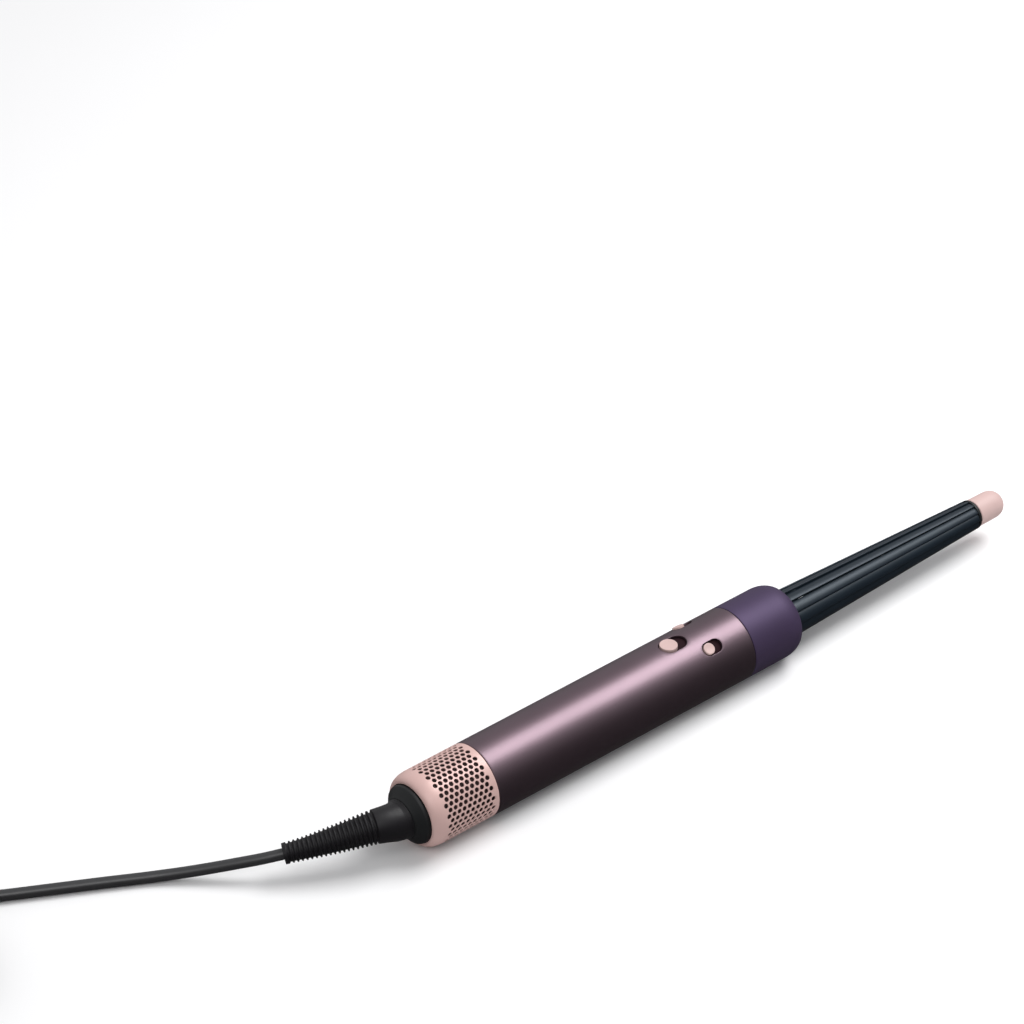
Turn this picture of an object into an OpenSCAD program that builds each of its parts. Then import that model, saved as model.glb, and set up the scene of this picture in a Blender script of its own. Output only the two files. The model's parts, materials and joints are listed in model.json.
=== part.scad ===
/* [Handle] */
// Outside diameter of the handle, cage and collar
body_d = 41; // [39:0.5:44]
// Wall thickness of the handle tube
shell_wall = 1.3; // [1:0.1:1.6]
// Length of the handle tube between the cage and the collar
tube_len = 175; // [170:1:185]

/* [Filter] */
// Length of the perforated cage with its rounded rear shoulder
cage_len = 41; // [38:1:46]
// Diameter of one air hole
hole_d = 2.5; // [1.4:0.1:2.5]
// Distance between air holes along one row
hole_pitch = 3.3; // [3.2:0.05:3.4]
// Rows of air holes around the cage
hole_rows = 44; // [36:2:46]
// Air holes in one row
holes_per_row = 9; // [4:1:9]

/* [Controls] */
// Diameter of the power button
power_d = 9.6; // [8:0.2:10]
// Travel of the power button from off to cool shot
power_travel = 5.6; // [4:0.2:6]
// Diameter of the airflow and temperature buttons
small_d = 6.4; // [5:0.2:7]
// Travel of the airflow and temperature buttons
small_travel = 4.8; // [3:0.2:5]
// Angle of the airflow and temperature buttons from the top
small_angle = 36; // [35:1:40]
// Inward travel of the release button
release_travel = 1; // [0.6:0.1:1]

/* [Curling barrel] */
// Length of the collar
collar_len = 37; // [35:1:40]
// Length of the tapered barrel outside the collar
barrel_len = 143; // [120:1:160]
// Barrel diameter at the collar
barrel_d1 = 26.6; // [26:0.2:28]
// Barrel diameter at the tip
barrel_d2 = 17; // [16.5:0.5:20]
// Length of the cool tip
tip_len = 21; // [18:1:26]

/* [Cord] */
// Cord diameter
cord_d = 6; // [5:0.5:6]
// Diameter of one plug pin
pin_d = 4.8; // [4:0.1:5]
// Length of one plug pin
pin_len = 19; // [17:1:20]
// Distance between the plug pins
pin_gap = 19; // [18:1:20]

/* [Hidden] */
$fn = 72;

// ---- colours ----
plum = [0.28, 0.2, 0.24];
dusty_pink = [0.85, 0.68, 0.64];
pale_pink = [0.9, 0.78, 0.76];
violet = [0.3, 0.25, 0.38];
soft_black = [0.09, 0.1, 0.11];
steel = [0.72, 0.73, 0.75];
mica = [0.8, 0.77, 0.68];
copper = [0.72, 0.42, 0.25];
board_green = [0.1, 0.32, 0.2];

// ---- stations along the handle's axis, X = 0 midway along the whole tool ----
body_r = body_d / 2;
bore_r = body_r - shell_wall;
bell_len = 11;
total_len = bell_len + cage_len + tube_len + collar_len + barrel_len + tip_len;
x_bell = -total_len / 2;
x_rear = x_bell + bell_len;
x_cage = x_rear + cage_len;
x_tube = x_cage + tube_len;
x_collar = x_tube + collar_len;
x_barrel = x_collar + barrel_len;
seam = 0.3;
running = 0.05;

// ---- shared radii ----
ring_r = 16.6;
bell_r = ring_r - seam;
neck_r = 9.5;
frame_r = 16;
housing_r = 13.6;
housing_bore = 12.7;
shaft_r = 1.5;
sleeve_r = 13;
sleeve_bore = 12.2;
spigot_r = 16.2;
spigot_bore = 14.9;
plate_r = bore_r - seam;
plate_t = 1;
carrier_r = 14.6;
lead_r = cord_d / 2;

// ---- helpers ----
// Solids of revolution about the handle's axis: local Z becomes X
module along_x(x) {
    translate([x, 0, body_r]) rotate([0, 90, 0]) children();
}
// Local +Z points out of the handle at angle a from the top, towards -Y
module radial(x, a) {
    translate([x, 0, body_r]) rotate([a, 0, 0]) children();
}
module tube(r_out, r_in, len) {
    difference() {
        cylinder(r = r_out, h = len);
        translate([0, 0, -1]) cylinder(r = r_in, h = len + 2);
    }
}
// Round-ended prism, from the centre of one end to the other along X
module stadium(r, travel, h) {
    cylinder(r = r, h = h);
    translate([travel, 0, 0]) cylinder(r = r, h = h);
    translate([0, -r, 0]) cube([travel, 2 * r, h]);
}

// ---- places of the controls ----
power_x = x_cage + 131;
small_x = x_cage + 148.6;
slot_play = 0.6;
release_x = x_tube - 18;
release_r = 3.2;
release_len = 3.4;

module slider_slots() {
    radial(power_x, 0) stadium(power_d / 2 + slot_play, power_travel, body_r + 5);
    for (side = [-1, 1])
        radial(small_x, side * small_angle)
            stadium(small_d / 2 + slot_play, small_travel, body_r + 5);
    radial(release_x, 180) stadium(release_r + slot_play, release_len, body_r + 5);
}

// ---- handle ----
module handle_shell() {
    color(plum) difference() {
        along_x(x_cage) tube(body_r, bore_r, tube_len - seam);
        slider_slots();
    }
}

// Slotted tube that carries the bell and lets air in under the cage
module intake_frame() {
    windows = 6;
    wall_r = frame_r - 1.4;
    color(soft_black) difference() {
        union() {
            along_x(x_rear) cylinder(r = frame_r, h = cage_len + 8);
            along_x(x_cage) cylinder(r = bore_r, h = 8);
        }
        along_x(x_rear + 4) cylinder(r = wall_r, h = cage_len + 10);
        along_x(x_rear - 1) cylinder(r = lead_r, h = 10);
        for (i = [0:windows - 1])
            radial(x_rear + 7, i * 360 / windows + 30) translate([0, -5, 8]) cube([29, 10, 10]);
    }
}

module cable_bell() {
    color(soft_black) along_x(x_bell) rotate_extrude()
        polygon([
            [lead_r, 0], [neck_r, 0], [neck_r + 0.4, 1.2], [neck_r + 1.4, 3], [neck_r + 3, 5.6],
            [bell_r, bell_len], [lead_r, bell_len]
        ]);
}

module inner_lead() {
    color("dimgray") along_x(x_bell) cylinder(r = lead_r, h = 32);
}

clamp_w = 14;
clamp_len = 8;
screw_y = 5;
screw_r = 1;
module cord_clamp() {
    color("gray") difference() {
        translate([x_rear + 4, -clamp_w / 2, body_r - 4.5]) cube([clamp_len, clamp_w, 9]);
        along_x(x_rear) cylinder(r = lead_r, h = 20);
        translate([x_rear + 3, -clamp_w, body_r - 0.3]) cube([clamp_len + 2, 2 * clamp_w, 0.6]);
        for (side = [-1, 1])
            translate([x_rear + 4 + clamp_len / 2, side * screw_y, body_r - 6])
                cylinder(r = screw_r, h = 12);
    }
}

module clamp_screws() {
    color(steel) for (side = [-1, 1])
        translate([x_rear + 4 + clamp_len / 2, side * screw_y, body_r]) {
            translate([0, 0, -4]) cylinder(r = screw_r, h = 8.5);
            difference() {
                translate([0, 0, 4.5]) cylinder(r = 1.9, h = 1.3);
                translate([-0.25, -2, 5.3]) cube([0.5, 4, 1]);
            }
        }
}

// ---- motor ----
x_motor = x_cage + 10;
motor_len = 48;
wire_r = 0.8;
wire_y = 1.1;
wire_z = 15.4;
x_board = x_cage + 76;
board_len = x_cage + 118 - x_board;

// One wire segment between two points, with a ball at its far end
module wire(from, to) {
    d = to - from;
    turn = d[2] > 0 ? [0, 0, 0] : [0, 90, 0];
    translate(from) rotate(turn) cylinder(r = wire_r, h = norm(d));
    translate(to) sphere(r = wire_r, $fn = 24);
}
module power_leads() {
    inner = body_r + 11.4;
    start = x_bell + 32;
    bend = x_cage + 9;
    color("firebrick") for (y = [-wire_y, wire_y]) {
        wire([start, y, body_r], [start + 4, y, body_r]);
        wire([start + 4, y, body_r], [start + 4, y, inner]);
        wire([start + 4, y, inner], [bend, y, inner]);
        wire([bend, y, inner], [bend, y, body_r + wire_z]);
        wire([bend, y, body_r + wire_z], [x_board + 3, y, body_r + wire_z]);
    }
}

module wire_notches(x, len) {
    for (y = [-wire_y, wire_y])
        translate([x, y, body_r + wire_z]) rotate([0, 90, 0]) cylinder(r = wire_r, h = len);
}

module motor_housing() {
    lip = 2;
    color("silver") along_x(x_motor) rotate_extrude()
        polygon([
            [housing_bore + 0.6, 0], [housing_r, 0], [housing_r, motor_len],
            [housing_bore, motor_len], [housing_bore, lip]
        ]);
}

module motor_mount(x) {
    len = 6;
    color("dimgray") difference() {
        along_x(x) tube(bore_r, housing_r, len);
        wire_notches(x - 1, len + 2);
        for (i = [0:7])
            radial(x - 1, i * 45 + 22.5) translate([0, 0, 16.4]) rotate([0, 90, 0])
                cylinder(r = 1.2, h = len + 2);
    }
}
module rear_motor_mount() {
    motor_mount(x_motor + 2);
}
module front_motor_mount() {
    motor_mount(x_motor + motor_len - 8);
}

bearing_r = 4;
bearing_w = 3;
x_diffuser = x_motor + 17;
x_spider = x_motor + 43;
hub_r = 5.4;

// Hub and rim joined by thin blades, with a seat for a bearing
module bladed_ring(x, len, blades, tilt, blade_t) {
    difference() {
        union() {
            along_x(x) tube(housing_bore, housing_bore - 0.8, len);
            along_x(x) cylinder(r = hub_r, h = len);
            intersection() {
                along_x(x) tube(housing_bore - 0.4, hub_r - 0.4, len);
                for (i = [0:blades - 1])
                    radial(x + len / 2, i * 360 / blades) rotate([0, 0, tilt])
                        translate([-len, -blade_t / 2, hub_r - 1]) cube([2 * len, blade_t, 9]);
            }
        }
        along_x(x + (len - bearing_w) / 2) cylinder(r = bearing_r, h = len);
        along_x(x - 1) cylinder(r = shaft_r + 0.4, h = len + 2);
    }
}
module diffuser() {
    color("slategray") bladed_ring(x_diffuser, 6, 11, -25, 0.9);
}
module motor_spider() {
    color("slategray") bladed_ring(x_spider, 4, 4, 0, 2.4);
}

x_stator = x_diffuser + 8.5;
stator_len = 12;
pole_r = 5.2;
module stator_core() {
    color("darkslategray") difference() {
        union() {
            along_x(x_stator) tube(housing_bore, 9.4, stator_len);
            intersection() {
                along_x(x_stator) tube(10, pole_r, stator_len);
                for (i = [0:3])
                    radial(x_stator, i * 90 + 45) translate([0, -2, pole_r - 1])
                        cube([stator_len, 4, 6]);
            }
        }
    }
}
module stator_windings() {
    color(copper) for (i = [0:3])
        radial(x_stator, i * 90 + 45) difference() {
            translate([-1.8, -3.6, 6.2]) cube([stator_len + 3.6, 7.2, 2.4]);
            translate([0, -2, 5]) cube([stator_len, 4, 5]);
        }
}

module rotor_bearings() {
    color(steel) {
        along_x(x_diffuser + 1.5) tube(bearing_r, shaft_r + running, bearing_w);
        along_x(x_spider + 0.5) tube(bearing_r, shaft_r + running, bearing_w);
    }
}

module inverter_board() {
    color(board_green) difference() {
        along_x(x_motor + motor_len) cylinder(r = housing_r - 0.2, h = 1.2);
        along_x(x_motor + motor_len - 1) cylinder(r = 3, h = 4);
        for (i = [0:5])
            radial(x_motor + motor_len - 1, i * 60) translate([0, 0, 9.2]) rotate([0, 90, 0])
                cylinder(r = 2.9, h = 4);
    }
}

// ---- rotor ----
x_impeller = x_motor + 6;
impeller_len = 9;
impeller_r = housing_bore - 0.4;
module impeller() {
    blades = 13;
    nose_r = 5;
    color(steel) difference() {
        union() {
            along_x(x_impeller) cylinder(r1 = 3, r2 = nose_r, h = impeller_len);
            intersection() {
                along_x(x_impeller) tube(impeller_r, 3, impeller_len);
                for (i = [0:blades - 1])
                    radial(x_impeller + impeller_len / 2, i * 360 / blades) rotate([0, 0, 38])
                        translate([-8, -0.35, 3.4]) cube([16, 0.7, 10]);
            }
        }
        along_x(x_impeller - 1) cylinder(r = shaft_r, h = impeller_len + 2);
    }
}
module motor_shaft() {
    color("lightgray") along_x(x_impeller) cylinder(r = shaft_r, h = x_spider + 4.5 - x_impeller);
}
module rotor_magnet() {
    color("dimgray") along_x(x_stator - 0.5) tube(pole_r - 0.5, shaft_r, stator_len + 1);
}

// ---- heater ----
x_adapter = x_motor + motor_len + 1.2;
adapter_len = 20;
x_sleeve = x_adapter + adapter_len;
x_sleeve_end = x_tube - 6;
module duct_adapter() {
    color("tan") along_x(x_adapter) rotate_extrude()
        polygon([
            [housing_r - 0.9, 0], [housing_r, 0], [sleeve_r, adapter_len],
            [sleeve_bore, adapter_len]
        ]);
}
module heater_sleeve() {
    color(mica) along_x(x_sleeve) tube(sleeve_r, sleeve_bore, x_sleeve_end - x_sleeve);
}
card_start = x_sleeve + 10;
card_len = 62;
module heater_card() {
    color(mica) intersection() {
        along_x(card_start) cylinder(r = sleeve_bore - 0.05, h = card_len);
        union() {
            translate([card_start, -15, body_r - 0.4]) cube([card_len, 30, 0.8]);
            translate([card_start, -0.4, body_r - 15]) cube([card_len, 0.8, 30]);
        }
    }
}
module heater_coils() {
    coils = 9;
    color(steel) for (i = [0:coils - 1])
        for (r = [6.2, 9.6])
            along_x(card_start + 5 + i * (card_len - 10) / (coils - 1))
                rotate_extrude() translate([r, 0]) circle(r = 0.6, $fn = 16);
}
module thermal_fuse() {
    color("silver") radial(card_start + card_len, 0)
        translate([0, 0, 7]) rotate([0, 90, 0]) cylinder(r = 1.6, h = 9);
}
module thermistor() {
    color("darkorange") radial(card_start + card_len, 180)
        translate([0, 0, 7]) rotate([0, 90, 0]) {
            cylinder(r = 0.5, h = 9);
            translate([0, 0, 6]) sphere(r = 1.3, $fn = 24);
        }
}

// ---- electronics ----
board_w = 20;
board_t = 1.2;
board_z = body_r + wire_z - wire_r;
module control_board() {
    color(board_green) translate([x_board, -board_w / 2, board_z - board_t])
        cube([board_len, board_w, board_t]);
}
module board_components() {
    color([0.14, 0.14, 0.15]) {
        translate([x_board + 5, -5, board_z]) cube([9, 9, 1.6]);
        translate([x_board + 18, -6, board_z]) cube([6, 5, 2]);
        translate([x_board + 18, 2, board_z]) cube([5, 5, 1.4]);
        translate([x_board + 31, 0, board_z]) cylinder(r = 3, h = 3);
        translate([x_board + 39, -3.5, board_z]) cylinder(r = 1.8, h = 2.4);
        translate([x_board + 39, 3.5, board_z]) cylinder(r = 1.8, h = 2.4);
    }
}

carrier_start = power_x - 13;
carrier_end = x_tube - 9;
module switch_carrier() {
    color(soft_black) intersection() {
        along_x(carrier_start) tube(carrier_r, sleeve_r + 0.2, carrier_end - carrier_start);
        translate([carrier_start - 1, -20, body_r + 6.5]) cube([carrier_end - carrier_start + 2, 40, 20]);
    }
}

switch_top = 17.2;
pin_reach = 16;
actuator_r = 0.8;
// Switch body with a groove for the slider's actuator pin
module slide_switch(x, a, len, w, travel) {
    radial(x, a) difference() {
        translate([travel / 2 - len / 2, -w / 2, carrier_r - 0.6])
            cube([len, w, switch_top - carrier_r + 0.6]);
        rotate([0, 90, 0]) translate([0, 0, -len]) cylinder(r = carrier_r, h = 3 * len);
        translate([-actuator_r - 0.5, -actuator_r - 0.5, pin_reach - 0.4])
            cube([travel + 2 * actuator_r + 1, 2 * actuator_r + 1, 3]);
    }
}
module slide_switches() {
    color("dimgray") {
        slide_switch(power_x, 0, 16, 7, power_travel);
        for (side = [-1, 1]) slide_switch(small_x, side * small_angle, 12, 5, small_travel);
    }
}

// ---- sliders ----
button_h = 0.7;
// Thin curved cover under the slot, holed for its button
module slider_plate(x, a, d, travel) {
    slot_r = d / 2 + slot_play;
    reach = slot_r + travel + 1;
    color(soft_black) difference() {
        intersection() {
            along_x(x - reach) tube(plate_r, plate_r - plate_t, 2 * reach);
            radial(x - reach, a) translate([0, -slot_r - 0.8, 0])
                cube([2 * reach, 2 * slot_r + 1.6, body_r]);
        }
        radial(x, a) cylinder(r = d / 2, h = body_r);
    }
}
// Round button with a bevelled top and an actuator pin under it
module slider_button(x, a, d) {
    foot = plate_r - plate_t;
    top = body_r + button_h;
    bevel = 0.5;
    color(pale_pink) radial(x, a) {
        translate([0, 0, foot]) cylinder(r = d / 2, h = top - bevel - foot);
        translate([0, 0, top - bevel]) cylinder(r1 = d / 2, r2 = d / 2 - bevel, h = bevel);
        translate([0, 0, pin_reach]) cylinder(r = actuator_r, h = foot - pin_reach + 0.2);
    }
}
module power_plate() {
    slider_plate(power_x, 0, power_d, power_travel);
}
module power_button() {
    slider_button(power_x, 0, power_d);
}
module airflow_plate() {
    slider_plate(small_x, small_angle, small_d, small_travel);
}
module airflow_button() {
    slider_button(small_x, small_angle, small_d);
}
module temperature_plate() {
    slider_plate(small_x, -small_angle, small_d, small_travel);
}
module temperature_button() {
    slider_button(small_x, -small_angle, small_d);
}

// ---- release button under the handle ----
arm_w = 5;
arm_low = 17.6;
arm_high = 18.8;
hook_x = x_tube + 5;
module release_button() {
    flange = 1;
    color(pale_pink) {
        radial(release_x, 180) translate([0, 0, arm_low]) stadium(release_r, release_len, 2.5);
        intersection() {
            radial(release_x, 180) translate([-5, -5, arm_low]) cube([12, 10, flange]);
            along_x(release_x - 10) cylinder(r = arm_high, h = 40);
        }
        intersection() {
            union() {
                radial(release_x, 180) translate([0, -arm_w / 2, arm_low])
                    cube([hook_x + 3 - release_x, arm_w, arm_high - arm_low]);
                radial(hook_x, 180) translate([0, -arm_w / 2, arm_low]) cube([3, arm_w, 1.5]);
            }
            along_x(release_x - 10) cylinder(r = arm_high + 0.25, h = 60);
        }
    }
}
spring_r = 2.2;
module latch_spring() {
    color(steel) radial(release_x + release_len / 2, 180)
        translate([0, 0, sleeve_r + 0.1]) tube(spring_r, spring_r - 0.7, arm_low - sleeve_r - 0.2);
}

// ---- outlet ----
x_flange = x_tube - 9;
spigot_len = 28;
seal_x = x_tube + 22;
seal_w = 2;
module outlet_spigot() {
    color("gray") difference() {
        union() {
            along_x(x_flange) cylinder(r = bore_r, h = 8.7);
            along_x(x_flange) cylinder(r = spigot_r, h = x_tube + spigot_len - x_flange);
        }
        along_x(x_flange - 1) cylinder(r = sleeve_r, h = x_sleeve_end - x_flange + 1);
        along_x(x_sleeve_end) cylinder(r = spigot_bore, h = 60);
        along_x(seal_x) tube(spigot_r + 1, spigot_r - 0.6, seal_w);
        radial(x_flange - 1, 180) translate([0, -arm_w / 2 - 0.5, arm_low - release_travel - 0.3])
            cube([12, arm_w + 1, 5]);
    }
}
module outlet_seal() {
    color("firebrick") along_x(seal_x) tube(spigot_r + 0.1, spigot_r - 0.6, seal_w);
}
module outlet_grille() {
    grille_hole = 1.3;
    step = 3.6;
    color(soft_black) difference() {
        along_x(x_tube + spigot_len - 3) cylinder(r = spigot_bore, h = 2);
        for (ring = [0:3])
            for (i = [0:max(0, ring * 6 - 1)])
                radial(x_tube + spigot_len - 4, i * 60 / max(1, ring)) translate([0, 0, ring * step])
                    rotate([0, 90, 0]) cylinder(r = grille_hole, h = 5, $fn = 24);
    }
}

// ---- filter ----
shoulder_len = 8;
shoulder_steps = 8;
cage_wall = 1.2;
cage_bore = body_r - cage_wall;
// Quarter-round shoulder from the ring's rim to the cage's full radius
function shoulder(r_rim, r_full, len) = [
    for (i = [0:shoulder_steps])
        let (a = i * 90 / shoulder_steps)
        [r_rim + (r_full - r_rim) * sin(a), len * (1 - cos(a))]
];
cage_inside = [
    for (p = shoulder(ring_r, cage_bore, shoulder_len - cage_wall)) p + [0, cage_wall]
];
module filter_cage() {
    outer = shoulder(ring_r + 0.4, body_r, shoulder_len);
    inner = [for (i = [shoulder_steps:-1:0]) cage_inside[i]];
    color(dusty_pink) difference() {
        along_x(x_rear) rotate_extrude()
            polygon(concat(
                [[ring_r, 0]], outer, [[body_r, cage_len - seam], [cage_bore, cage_len - seam]], inner
            ));
        for (row = [0:hole_rows - 1])
            for (i = [0:holes_per_row - 1])
                radial(x_cage - 4.2 - hole_pitch * (i + (row % 2) / 2), row * 360 / hole_rows)
                    translate([0, 0, cage_bore - 1]) cylinder(d = hole_d, h = 3, $fn = 16);
    }
}
mesh_t = 0.4;
// Fine liner, pressed to the inside of the cage
module filter_mesh() {
    end = cage_len - 1.5;
    color("gainsboro") along_x(x_rear) rotate_extrude()
        polygon(concat(
            [for (i = [2:shoulder_steps]) cage_inside[i]], [[cage_bore, end], [cage_bore - mesh_t, end]],
            [for (i = [shoulder_steps:-1:2]) cage_inside[i] - [mesh_t, 0]]
        ));
}
module filter_seal() {
    color("dimgray") along_x(x_cage - 3) tube(cage_bore - mesh_t, frame_r + 0.6, 2);
}

// ---- curling barrel ----
round_len = 10.5;
collar_wall = 1.2;
mouth_r = barrel_d1 / 2 + 0.15;
rim_r = 15;
collar_bore = body_r - collar_wall;
module attachment_collar() {
    straight = collar_len - round_len;
    outer = [
        for (i = [0:10])
            let (a = i * 9)
            [rim_r + (body_r - rim_r) * cos(a), straight + round_len * sin(a)]
    ];
    inner = [
        for (i = [10:-1:0])
            let (a = i * 9)
            [rim_r + (collar_bore - rim_r) * cos(a), straight + (round_len - 1.5) * sin(a)]
    ];
    color(violet) along_x(x_tube) rotate_extrude()
        polygon(concat(
            [[body_r, seam]], outer, [[mouth_r, collar_len], [mouth_r, collar_len - 1.5]], inner,
            [[collar_bore, seam]]
        ));
}

sleeve_start = x_tube + 14;
sleeve_in = spigot_r + seam;
module socket_sleeve() {
    len = 14.6;
    color("dimgray") along_x(sleeve_start) rotate_extrude()
        polygon([
            [sleeve_in, 0], [collar_bore, 0], [collar_bore, 2], [sleeve_in + 1.3, 2],
            [sleeve_in + 1.3, len - 4], [16.8, len], [sleeve_in, len]
        ]);
}

x_selector = sleeve_start + 14.6;
opening_r = 11.9;
// Disc with three sector openings around a hub
module sector_disc(x, r_out, len, bore) {
    difference() {
        along_x(x) cylinder(r = r_out, h = len);
        along_x(x - 1) cylinder(r = bore, h = len + 2);
        along_x(x - 1) for (i = [0:2])
            rotate([0, 0, i * 120 + 180]) intersection() {
                tube(opening_r - 1, 4, len + 2);
                linear_extrude(height = len + 2) polygon([[0, 0], [20, -20], [20, 20]]);
            }
    }
}
module selector_plate() {
    color("dimgray") sector_disc(x_selector, 16.8, 1.4, shaft_r + running);
}

x_base = x_selector + 1.4;
vane_wall = 1.5;
vane_gap = 1;
base_len = x_collar + 3 - x_base;
end_len = 3.5;
function barrel_r(x) = barrel_d1 / 2 - (x - x_collar) * (barrel_d1 - barrel_d2) / 2 / barrel_len;
slot_len = barrel_len - 20;
crease = 0.45;
slot_turn = -6;
slope = atan((barrel_d1 - barrel_d2) / 2 / barrel_len);
// Tapered barrel: six air slots through the wall, with a shallow crease midway between each two
module barrel_shell() {
    foot = x_collar + 3;
    front = x_barrel - end_len;
    start = x_collar + 8;
    color(soft_black) difference() {
        along_x(x_base) rotate_extrude()
            polygon([
                [12.3, 0], [16.4, 0], [16.4, 1], [barrel_r(x_base + 1), 1],
                [barrel_r(front), front - x_base], [barrel_r(front) - vane_wall, front - x_base],
                [barrel_r(foot) - vane_wall, base_len]
            ]);
        for (i = [0:5]) {
            radial(start, i * 60 + slot_turn) translate([0, -vane_gap / 2, 5]) cube([slot_len, vane_gap, 20]);
            radial(start, i * 60 + slot_turn + 30) translate([0, -0.4, barrel_r(start) - crease])
                rotate([0, slope, 0]) cube([slot_len, 0.8, 5]);
        }
    }
}
core_r = 3;
module barrel_core() {
    color(steel) difference() {
        union() {
            along_x(x_base + 3) cylinder(r = core_r, h = x_barrel - end_len - x_base - 3);
            for (x = [x_collar + 8, x_collar + 70, x_barrel - 12]) {
                rim = barrel_r(x + 3) - vane_wall;
                along_x(x) tube(rim, rim - 1, 3);
                for (i = [0:2])
                    radial(x + 0.4, i * 120 + 30) translate([0, -0.6, core_r - 0.5])
                        cube([2.2, 1.2, rim - core_r]);
            }
        }
        along_x(x_base) cylinder(r = shaft_r + running, h = barrel_len + 20);
    }
}
module barrel_end_ring() {
    color([0.3, 0.16, 0.15]) along_x(x_barrel - end_len) rotate_extrude()
        polygon([
            [shaft_r + running, 0], [barrel_r(x_barrel - end_len), 0],
            [barrel_r(x_barrel) - 0.1, end_len - 0.5], [barrel_r(x_barrel) - 0.6, end_len],
            [shaft_r + running, end_len]
        ]);
}

// ---- cool tip ----
tip_r = barrel_d2 / 2 - 0.5;
dome_len = 7.5;
spindle_reach = 12;
module cool_tip() {
    dome = [
        for (i = [0:9])
            let (a = i * 10)
            [tip_r * 0.98 * pow(cos(a), 0.8), tip_len - dome_len + dome_len * sin(a)]
    ];
    color(pale_pink) along_x(x_barrel) rotate_extrude()
        polygon(concat(
            [[shaft_r, seam], [tip_r, seam]], dome, [[0, spindle_reach], [shaft_r, spindle_reach]]
        ));
}
module tip_spindle() {
    color("lightgray") along_x(x_base - 1) cylinder(r = shaft_r, h = x_barrel + spindle_reach - x_base + 1);
}
module airflow_shutter() {
    color("gray") sector_disc(x_base + 0.4, opening_r, 1.4, shaft_r);
}

// ---- cord ----
// Route of the strain relief, then of the cord as far as the coil
relief_route = [
    [-216, 0, 20.5], [-220, 0.5, 21.2], [-226, 2.6, 21.4], [-235, 6.6, 20.4], [-246, 11.6, 18.4],
    [-256, 16.4, 16.6], [-266.4, 22.5, 14.2]
];
cord_route = [
    [-266.4, 22.5, 14.2], [-275, 28.2, 12.1], [-285, 35.6, 9.7], [-295, 43.3, 7.2], [-305, 50.8, 5.1],
    [-315, 58, 3.6], [-325, 64.3, 3], [-342, 74, 3], [-360, 84, 3], [-378, 94, 3],
    [-394, 103, 3.1], [-410, 112, 3.5], [-424, 119.8, 3.9], [-436, 126.4, 4]
];
tail_route = [
    [-458.5, 129.4, 19.6], [-470, 129.9, 19.6], [-482.3, 128.5, 19.5], [-494.2, 123.1, 18.6],
    [-503.1, 113.2, 17], [-508.5, 100.8, 15.2], [-510.5, 87.4, 13.8], [-510.5, 74, 13.1],
    [-510.5, 60, 13], [-510.5, 48, 13], [-510.5, 38, 13]
];
coil_x = -458.5;
coil_y = 87.4;
coil_mid = 36;
coil_cols = 4;
coil_layers = 4;
layer_rise = 5.2;
tie_t = 1;

function unit(v) = v / norm(v);
function blend(a, b, c, d, t) =
    0.5 * (2 * b + (c - a) * t + (2 * a - 5 * b + 4 * c - d) * t * t + (3 * b - a - 3 * c + d) * t * t * t);
// Smooth curve through the route's points, with n steps between each two
function smooth(p, n) = concat(
    [
        for (i = [0:len(p) - 2])
            for (j = [0:n - 1])
                blend(p[max(i - 1, 0)], p[i], p[i + 1], p[min(i + 2, len(p) - 1)], j / n)
    ],
    [p[len(p) - 1]]
);
// Round tube along a path, with its own radius at each ring
module sweep(path, radii, sides) {
    last = len(path) - 1;
    points = [
        for (i = [0:last])
            let (
                t = unit(path[min(i + 1, last)] - path[max(i - 1, 0)]),
                s = unit(cross([0, 0, 1], t)),
                u = cross(t, s)
            )
            for (k = [0:sides - 1])
                path[i] + radii[i] * (cos(k * 360 / sides) * s + sin(k * 360 / sides) * u)
    ];
    walls = [
        for (i = [0:last - 1])
            for (k = [0:sides - 1])
                let (n = (k + 1) % sides)
                [i * sides + k, (i + 1) * sides + k, (i + 1) * sides + n, i * sides + n]
    ];
    caps = [[for (k = [0:sides - 1]) k], [for (k = [sides - 1:-1:0]) last * sides + k]];
    polyhedron(points = points, faces = concat(walls, caps));
}

module strain_relief() {
    path = concat([[x_bell, 0, body_r]], smooth(relief_route, 2));
    last = len(path) - 1;
    radii = [for (i = [0:last]) i < 4 ? neck_r - i * 0.2 : 8.9 - (i - 4) * 3.3 / (last - 4)];
    color(soft_black) sweep(path, radii, 12);
}
module cord_run() {
    path = smooth(cord_route, 2);
    color([0.2, 0.2, 0.2]) sweep(path, [for (p = path) cord_d / 2], 10);
}
module cord_tail() {
    path = smooth(tail_route, 2);
    color([0.2, 0.2, 0.2]) sweep(path, [for (p = path) cord_d / 2], 10);
}
coil_half = coil_cols * cord_d / 2;
coil_h = cord_d + (coil_layers - 1) * layer_rise;
module cord_coil() {
    soft = 1.5;
    color([0.2, 0.2, 0.2]) translate([coil_x, coil_y, tie_t]) rotate_extrude()
        polygon([
            [coil_mid - coil_half + soft, 0], [coil_mid + coil_half - soft, 0],
            [coil_mid + coil_half, soft], [coil_mid + coil_half, coil_h - soft],
            [coil_mid + coil_half - soft, coil_h], [coil_mid - coil_half + soft, coil_h],
            [coil_mid - coil_half, coil_h - soft], [coil_mid - coil_half, soft]
        ]);
}
module cord_tie() {
    tie_w = 12;
    color([0.12, 0.12, 0.13]) translate([coil_x, coil_y, 0]) rotate([0, 0, -60]) difference() {
        translate([coil_mid - coil_half - tie_t, -tie_w / 2, 0])
            cube([2 * (coil_half + tie_t), tie_w, coil_h + 2 * tie_t]);
        translate([0, 0, tie_t]) tube(coil_mid + coil_half, coil_mid - coil_half, coil_h);
    }
}

plug_x = -510.5;
plug_z = 13;
plug_face = 6;
plug_r = 18;
pin_root = 1.6;
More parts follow.
